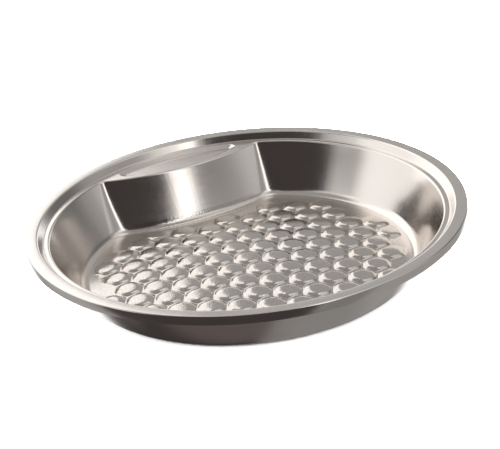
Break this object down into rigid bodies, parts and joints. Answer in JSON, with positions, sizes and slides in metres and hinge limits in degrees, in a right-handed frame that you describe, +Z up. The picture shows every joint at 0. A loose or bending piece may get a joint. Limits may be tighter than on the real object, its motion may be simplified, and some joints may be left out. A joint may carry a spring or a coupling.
{
  "type": "round inset draining pan",
  "caption": "Shallow round pan pressed from stainless steel, with a stepped rim, a crescent ledge, a hexagon-embossed floor and worktop fixings underneath.",
  "frame": {"origin": "centre of the base, on the surface that the pan stands on", "axes": "+Z up out of the bowl, +Y towards the crescent ledge, +X to the right seen from the front"},
  "size_m": [0.45, 0.45, 0.061],
  "materials": {
    "stainless_steel": "satin to bright stainless steel, warm grey",
    "zinc_plated_steel": "dull zinc plate",
    "seal_foam": "matt closed-cell foam, near black",
    "damping_bitumen": "matt bitumen felt, dark grey"
  },
  "bodies": {
    "root": {"pan_pressing": "stainless_steel", "rim_seal": "seal_foam", "clip_anchor_1": "zinc_plated_steel", "clip_anchor_2": "zinc_plated_steel", "clip_anchor_3": "zinc_plated_steel", "clip_anchor_4": "zinc_plated_steel", "clip_anchor_5": "zinc_plated_steel", "clip_anchor_6": "zinc_plated_steel", "clip_anchor_7": "zinc_plated_steel", "clip_anchor_8": "zinc_plated_steel", "tap_ledge_plate": "zinc_plated_steel", "earth_tag": "zinc_plated_steel", "damping_pad": "damping_bitumen"}
  },
  "joints": []
}
